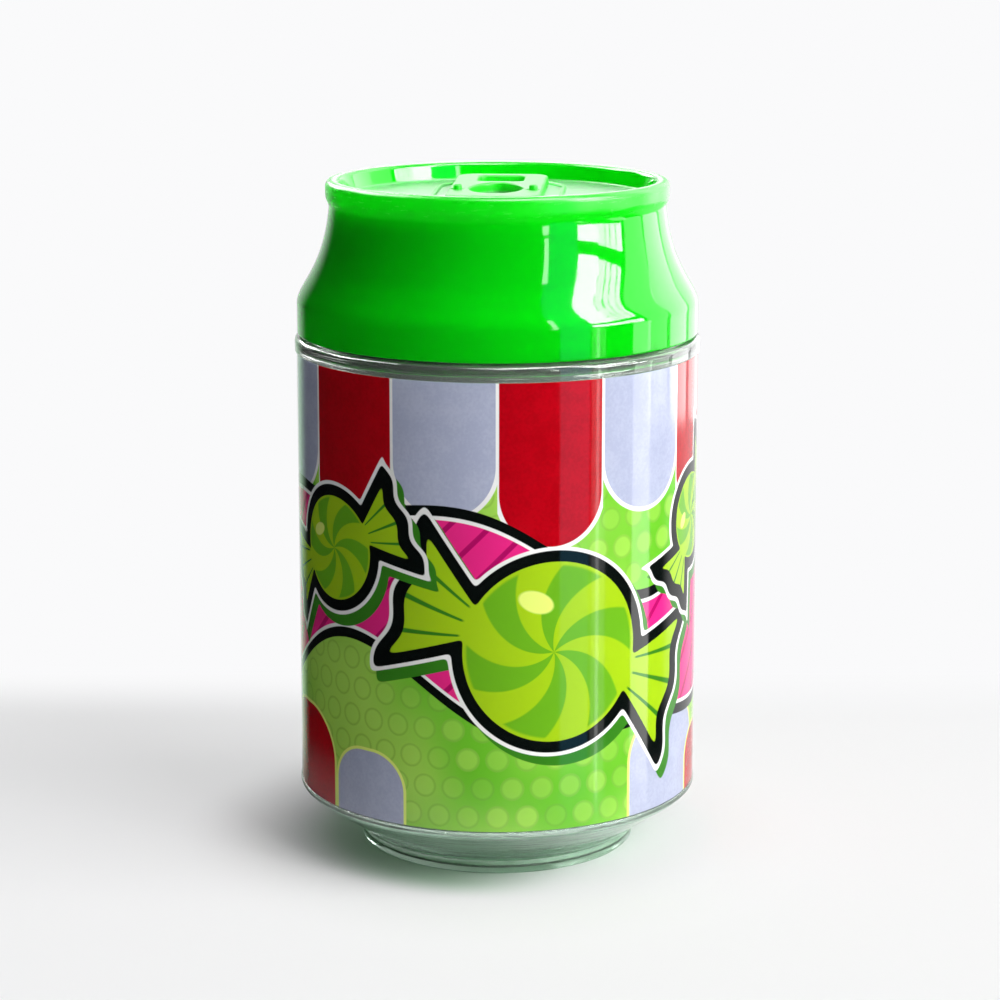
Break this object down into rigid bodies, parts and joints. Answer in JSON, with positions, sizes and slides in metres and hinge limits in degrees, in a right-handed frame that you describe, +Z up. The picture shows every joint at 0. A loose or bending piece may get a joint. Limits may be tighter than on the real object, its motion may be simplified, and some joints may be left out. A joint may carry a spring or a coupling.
{
  "type": "can diversion safe",
  "caption": "Clear drinks-can-shaped jar with a printed wrap, a green screw lid shaped like a can top, and an opaque hidden cup inside",
  "frame": {"origin": "on the can's axis, at the underside of its foot ring", "axes": "+Z up along the can's axis, -Y towards the viewer of the picture, with the ring-pull plate's slot towards +Y"},
  "size_m": [0.0664, 0.0664, 0.1104],
  "materials": {
    "clear_plastic": "clear gloss",
    "printed_film": "glossy printed film",
    "charcoal_plastic": "matt moulded",
    "pale_foam": "matt foam",
    "natural_plastic": "satin moulded",
    "green_plastic": "high gloss moulded"
  },
  "bodies": {
    "can": {"can_body": "clear_plastic", "label_sleeve": "printed_film", "stash_cup": "charcoal_plastic"},
    "seal": {"seal_disc": "natural_plastic", "seal_gasket": "pale_foam"},
    "lid": {"lid_shell": "green_plastic", "pull_tab": "green_plastic"}
  },
  "joints": [
    {"name": "lid_rise", "type": "slide", "parent": "can", "child": "seal", "axis": [0, 0, 1], "range_m": [0, 0.024]},
    {"name": "lid_turn", "type": "hinge", "parent": "seal", "child": "lid", "pos_m": [0, 0, 0.0855], "axis": [0, 0, 1], "range_deg": [0, 720]}
  ],
  "couplings": [
    {"joint": "lid_rise", "follows": "lid_turn", "m_per_rad": 0.0019099}
  ]
}
